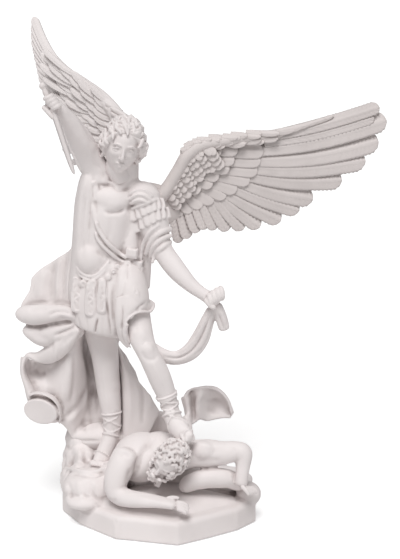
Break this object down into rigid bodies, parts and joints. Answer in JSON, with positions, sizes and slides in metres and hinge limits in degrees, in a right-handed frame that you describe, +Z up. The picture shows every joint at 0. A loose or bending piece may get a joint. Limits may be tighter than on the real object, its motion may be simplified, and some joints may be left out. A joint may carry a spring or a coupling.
{
  "type": "winged archangel statue",
  "caption": "Cast stone statue of a winged armoured archangel with a raised sword, standing on a fallen demon on a faceted rock plinth.",
  "frame": {"origin": "a point near the middle of the plinth's flat underside", "axes": "+Z up along the figure, front of the figure faces -Y, +X to the viewer's right"},
  "size_m": [0.27, 0.1465, 0.3607],
  "materials": {
    "cast_stone": "matte"
  },
  "bodies": {
    "root": {"statue": "cast_stone"}
  },
  "joints": []
}
